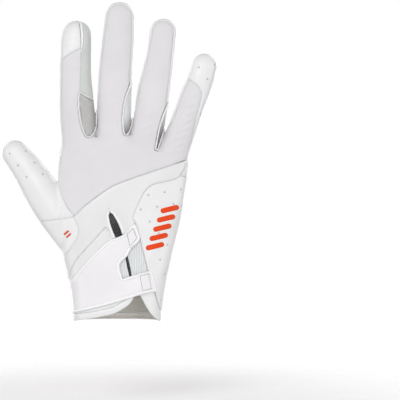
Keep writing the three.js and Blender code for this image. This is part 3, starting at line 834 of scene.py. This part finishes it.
# The back of the cuff ends in a hem of the smooth laminated overlay. It is turned in and sewn along the
# rising edge of the opening.
overlay = Finish("smooth_overlay", Roughness=0.4, Coat_Weight=0.1)
# Painted shade: the overlay's colour darkens to grey along the edges of each piece, in its seams.
overlay.put("Base Color", overlay.painted_seam_shade(overlay.cloudy(40, "#E3E3E4", "#EEEEEE"), "#A5A5AA"))
overlay.put("Roughness", overlay.at.noise(200).between(0.3, 0.7, 0.34, 0.48))
overlay.relief(overlay.at.noise(900) * 0.6 + overlay.at.noise(160) * 0.4, 0.00008)
hem_width = 0.0045
hemmed = sewn(raised=0.0004, dip=0.0004, reach=0.0008)
hem_space = within(line(cuff_edge) + corners((0.133, -0.05), (-0.4, -0.05)))
cuff_end = place(0.133, 0)[0]
hem = take(back_skin, lambda at: np.minimum(hem_space(at) + hem_width, cuff_end - at[:, 0]))
make_skin("back_hem", hem, overlay, hemmed)

# Between the wrist panel and the side panel lies a ribbed stretch knit, on both sides of the lower vent. It
# is sewn in flat and gives way when a hand goes in.
knit = Finish("ribbed_knit", Roughness=0.85, Sheen_Weight=0.2)
rib_pitch, rib_height, rib_fade = 0.0017, 0.00016, 0.002
ribs = knit.at.maths("SINE", knit.at.axis(0) * (2 * math.pi / rib_pitch))
loops = knit.at.cells(1500)
# Painted shade: the knit's colour is darker in the valleys between the ribs and lighter on their crests.
knit.put("Base Color", ribs.between(-1, 0.4).mixed("#D6D9DB", "#E6E8E9"))
knit.relief(ribs * 0.3 + loops * 0.4, 0.0002)
wrist_inner = [(0.015, 0.262), (0.02, 0.197), (0.041, 0.14), (0.092, 0.096), (0.133, 0.079)]
insert = take(back_skin, within(line(wrist_inner[:4]) + corners((0.1, 0.094), (0.3, 0.114), (0.185, 0.266),
                                                                (0.06, 0.244))))
refine(insert)
make_skin("knit_insert", insert, knit,
          lambda edge, at: rib_height * np.clip(edge / rib_fade, 0, 1)
          * np.sin(at[:, 0] * 2 * math.pi / rib_pitch) + sewn(dip=0.0004)(edge, at))

# Below the knit, a flap of the overlay stands on the far side of the slit. The end of the strap's lower arm
# is fastened on it.
flap = take(back_skin, within(corners((0.1, 0.094), (0.14, 0.079), (0.14, -0.05), (0.4, -0.05), (0.4, 0.114),
                                      (0.3, 0.114))))
make_skin("slit_flap", flap, overlay, sewn())

# The wrist panel is a raised piece of the overlay, sewn on between the thumb side and the slit. The strap
# lies on it.
wrist_top = [
    (-0.45, 0.09), (-0.348, 0.1295), (-0.328, 0.158), (-0.277, 0.195), (-0.174, 0.2455), (-0.072, 0.293),
]
wrist = take(back_skin, within(line(wrist_top) + line(wrist_inner) + corners((0.14, -0.05), (-0.6, -0.05),
                                                                            (-0.6, 0.09))))
make_skin("wrist_panel", wrist, overlay, raised)

# The knuckle overlay is a smooth laminated panel over the lower back of the hand. It lies higher than the
# panels round it and is sewn down along one long curve.
overlay_top = [(-0.301, 0.326), (-0.202, 0.365), (-0.044, 0.413), (0.078, 0.437), (0.262, 0.465),
               (0.429, 0.49), (0.62, 0.52)]
panel = take(back_skin, within(line(overlay_top) + corners((0.75, 0.52), (0.75, -0.05), (-0.75, -0.05),
                                                           (-0.75, 0.3))))
make_skin("knuckle_overlay", panel, overlay, sewn(raised=0.0008, dip=0.0004, reach=0.0006))

# What is left of the back is one smooth four-way stretch cloth, over the hand and the backs of the fingers.
# Narrow strips of white grip skin stand between it and the palm all round each finger.
cloth = Finish("back_cloth", Roughness=0.78, Sheen_Weight=0.3, Sheen_Roughness=0.4)
# Painted shade: the cloth's colour darkens to grey along the edges of each piece, in its seams.
cloth.put("Base Color", cloth.painted_seam_shade(cloth.cloudy(35, "#E3E0E3", "#EFEDF0"), "#A0A0A6", 0.001, 0.2))
wales_each_metre, courses_each_metre = 12000, 14000  # in radians
wales = cloth.at.maths("SINE", cloth.at.axis(0) * wales_each_metre)
courses = cloth.at.maths("SINE", cloth.at.axis(2) * courses_each_metre)
cloth.relief(wales * courses * 0.5 + cloth.at.noise(700), 0.00009)


def beside_fingers(at, reach_back=0.0043, slope=4, taper_width=0.0022):
    """Inside the narrow strips along the side seam, above the webs."""
    across = at[:, 0] / hand_width
    # Columns: how far across the hand the row holds, the web, the strip's lower end up the glove.
    ends = [(-0.3, -0.37, 0.47), (-0.15, -0.15, 0.575), (-0.02, -0.15, 0.61), (0.1, 0.1, 0.58),
            (0.2, 0.1, 0.62), (0.3, 0.3, 0.54), (9, 0.3, 0.58)]
    web, low = np.select([across < row[0] for row in ends], [[[row[1]], [row[2]]] for row in ends])
    taper = slope * np.minimum(abs(across - web) * hand_width, taper_width)
    return np.minimum(at[:, 1] - lean(at[:, 2]) + reach_back, at[:, 2] - low * glove_length - taper)


finger_sides = take(back_skin, beside_fingers)
make_skin("back_panel", back_skin, cloth, sewn(dip=0.0005, reach=0.0008))
make_skin("finger_side_strips", finger_sides, leather,
          sewn(raised=0.0002, dip=0.0005, reach=0.0007), nodes=["back_panel"])

# The palm's hem is white skin, turned up and sewn like the back's. What is left of the palm is one perforated
# piece of the same skin, over the outer fingers, the heel and the wrist.
palm_hem = take(palm_skin, lambda at: hem_width - at[:, 2])
make_skin("palm_hem", palm_hem, leather, hemmed)
perforate(white_piece("palm_white", palm_skin, 0.0014, sewn()))

# The closure strap is one moulded piece with a wide root at the thumb side and two arms, each of which ends
# in a stitched hook-and-loop tab. Its edges stand up a little in a rounded bead, with a painted highlight on
# it.
strap_skin = Finish("strap_skin", Roughness=0.38, Coat_Weight=0.1)
strap_rim_highlight = strap_skin.attribute("edge").between(0.0014, 0.0019, 1, 0)
# Painted highlight: the strap's colour is lighter along its edges, on the bead.
strap_skin.put("Base Color", strap_rim_highlight.mixed(strap_skin.cloudy(40, "#ECE9EC", "#F4F2F4"), "#FAFAFB"))
strap_skin.relief(strap_skin.at.noise(1200) * 0.6 + strap_skin.at.noise(140) * 0.6, 0.0001)
strap_top = [(-0.4, 0.085), (-0.337, 0.118), (-0.222, 0.1785), (-0.061, 0.248), (0.056, 0.272),
             (0.138, 0.306)]
strap_fork = [(0.111, 0.228), (0.081, 0.204), (0.04, 0.1865), (0.0327, 0.169), (0.052, 0.138)]
strap_bottom = [(0.275, 0.096), (0.194, 0.09), (0.133, 0.0815), (-0.072, 0.055), (-0.302, 0.029),
                (-0.4, 0.018)]
strap_outline = (line(strap_top) + line([(0.138, 0.306), (0.1735, 0.2655), (0.163, 0.25), (0.111, 0.228)])
                 + line(strap_fork) + corners((0.24, 0.161))
                 + line([(0.24, 0.161), (0.262, 0.147), (0.28, 0.104), (0.275, 0.096)]) + line(strap_bottom))
band = take(back_whole, within(strap_outline), keep_rest=False)
for _ in range(6):
    bmesh.ops.smooth_vert(band, verts=[vert for vert in band.verts if not vert.is_boundary], factor=0.5,
                          use_axis_x=True, use_axis_y=True, use_axis_z=True)
refine(band)


def ridge(edge, high, inset, half_width):
    return high * np.exp(-((edge - inset) / half_width) ** 2)


def banded(edge, at, base=0.0009, sunk=0.0002, thickness=0.0013, corner=0.0008, root=-0.031, fade=0.009):
    """The profile of the strap: rounded edges with a bead and a groove, flush with the glove at its root."""
    rounded = np.sqrt(np.clip(1 - (1 - np.clip(edge / corner, 0, 1)) ** 2, 0, 1))
    stand = np.clip((at[:, 0] - root) / fade, 0, 1)
    bead = ridge(edge, high=0.0006, inset=0.0011, half_width=0.0006)
    groove = ridge(edge, high=0.0003, inset=0.0022, half_width=0.0003)
    return base - sunk * stand + stand * (thickness * rounded + (bead - groove))


strap = make_skin("closure_strap", band, strap_skin, banded, wall=0.0011)
grey_thread = Finish("grey_thread", Roughness=0.6)
grey_thread.put("Base Color", grey_thread.cloudy(500, "#8A8A92", "#A2A2AA"))
on_strap = Seat(strap)
# The corners of the stitching on the upper and the lower tab are pixels of the photograph, as is the middle
# of the wrist opening.
upper_tab = ((134.1, 227.6), (138, 237.4), (131.6, 246.2), (128.5, 233.2))
lower_tab = ((141.3, 274.2), (149.6, 272.1), (152.2, 286.9), (144, 288.9))
wrist_px, wrist_py, pixel = 117, 321, 0.000714
tabs = []
for ring in (upper_tab, lower_tab):
    ring = [np.array([(px - wrist_px) * pixel, (wrist_py - py) * pixel]) for px, py in ring]
    sides = [a + (b - a) * share for a, b in zip(ring, ring[1:] + ring[:1])
             for share in np.linspace(0, 1, 12)]
    tabs.append(on_strap.seen(sides))
stitch("closure_strap_stitches", tabs, grey_thread, long=0.0023, pitch=0.0021, thick=0.00042)

# The upper vent has a raised, rounded rim of the strap's skin, which runs under the strap. Behind both vents
# lies a dark open mesh.
strap_space = within(strap_outline)
rim_space, hole_space = within(lens(*upper_vent, grow=0.0021)), within(lens(*upper_vent))
rim = take(back_whole, lambda at: np.minimum(np.minimum(rim_space(at), -hole_space(at)), -strap_space(at)),
           keep_rest=False)
refine(rim)
make_skin("upper_vent_rim", rim, strap_skin, bulged(0.0016, 0.001, 0.0006), wall=0.0008)
dark = Finish("dark_mesh", Roughness=0.7)
eyes = dark.at.cells(1100, spread=0.2).between(0.2, 0.5)
dark.put("Base Color", eyes.mixed("#1A1A1C", "#4A4A4C"))
dark.relief(eyes, 0.0003)
for name, vent in (("upper_vent_mesh", upper_vent), ("lower_vent_mesh", lower_vent)):
    mesh = take(back_whole, within(lens(*vent, grow=0.0006)), keep_rest=False)
    make_skin(name, mesh, dark, lambda edge, at: -0.0009 + 0 * edge, wall=0.0005)

# Plain bars are printed thickly in a slanting row on the side panel, and two short bar tacks hold the patch
# beside the thumb. All have round ends.
ink = Finish("orange_print", Roughness=0.4, Specular_IOR_Level=0.2)
ink.put("Base Color", ink.cloudy(200, "#E43E06", "#EE4C10"))
ink.relief(ink.at.noise(800), 0.00005)


def bar(centre, long, high, degrees):
    """A bar with rounded ends."""
    turn = math.radians(degrees)
    ring = []
    for side in (1, -1):
        for angle in np.linspace(-math.pi / 2, math.pi / 2, 9):
            x = side * (long / 2 - high / 2 + math.cos(angle) * high / 2)
            z = side * math.sin(angle) * high / 2
            ring.append(centre + np.array([x * math.cos(turn) - z * math.sin(turn),
                                           x * math.sin(turn) + z * math.cos(turn)]))
    return ring


marks = {}
bar_count, first_bar, last_bar = 5, place(0.28, 0.236), place(0.385, 0.35)
for i in range(bar_count):
    centre = first_bar + (last_bar - first_bar) * i / (bar_count - 1)
    marks[f"side_bar_{i + 1}"] = bar(centre, 0.013, 0.0036, 14)
tack_count, tack_spacing, tack_degrees = 2, 0.0026, 40
tack_turn = math.radians(tack_degrees)
for i in range(tack_count):
    aside = (i - 0.5) * tack_spacing
    centre = place(-0.346, 0.273) + np.array([-math.sin(tack_turn), math.cos(tack_turn)]) * aside
    marks[f"bar_tack_{i + 1}"] = bar(centre, 0.0046, 0.0012, tack_degrees)
for name, outline in marks.items():
    mark = take(back_whole, within(outline), keep_rest=False)
    refine(mark)
    make_skin(name, mark, ink, bulged(0.0004, 0.0005, 0.0005), wall=0.0003)

# The plain pale floor fades out round the glove. Soft studio lights stand in front of it, at its sides and,
# for the palm, behind it.
ground = bmesh.new()
bmesh.ops.create_circle(ground, cap_ends=True, segments=96, radius=0.8,
                        matrix=Matrix.Translation((0, 0, -0.06)))
floor = to_object("floor", ground)
pale = Finish("pale_floor", Roughness=0.9)
pale.put("Base Color", pale.cloudy(2, "#FDFDFD", "#FFFFFF"))
away = pale.at.node("ShaderNodeVectorMath", {"operation": "LENGTH"}, {0: pale.at}, 1)
pale.put("Alpha", away.between(0.1, 0.32, 1, 0))
floor.data.materials.append(pale.material)
world = bpy.data.worlds.new("studio")
bpy.context.scene.world = world
world.use_nodes = True
sky = world.node_tree.nodes["Background"]
sky.inputs["Color"].default_value = (1, 1, 1, 1)
seen = Tone(world.node_tree.nodes.new("ShaderNodeLightPath").outputs["Is Camera Ray"])
world.node_tree.links.new((seen * 0.69 + 0.31).socket, sky.inputs["Strength"])
bpy.context.scene.view_settings.view_transform = "Standard"
# Columns: name, place, width, height, watts.
lamps = [("key", (-0.4, -1.0, 0.7), 0.6, 0.6, 6.0), ("fill", (0.45, -1.1, 0.25), 0.7, 0.9, 3.3),
         ("left", (-1.1, -0.35, 0.2), 0.6, 1.0, 3.0), ("right", (1.1, -0.35, 0.2), 0.6, 1.0, 3.8),
         ("back_key", (0.5, 0.95, 0.5), 0.2, 1.0, 5.6), ("back_fill", (-0.6, 1.0, 0.3), 0.2, 1.0, 3.5)]
middle_of_glove = Vector((0, 0, 0.11))
for name, spot, size, tall, power in lamps:
    lamp = bpy.data.lights.new(name, "AREA")
    lamp.shape = "RECTANGLE"
    lamp.size, lamp.size_y, lamp.energy = size, tall, power
    light = bpy.data.objects.new(name, lamp)
    light.location = spot
    light.rotation_euler = (middle_of_glove - Vector(spot)).to_track_quat("-Z", "Y").to_euler()
    bpy.context.scene.collection.objects.link(light)
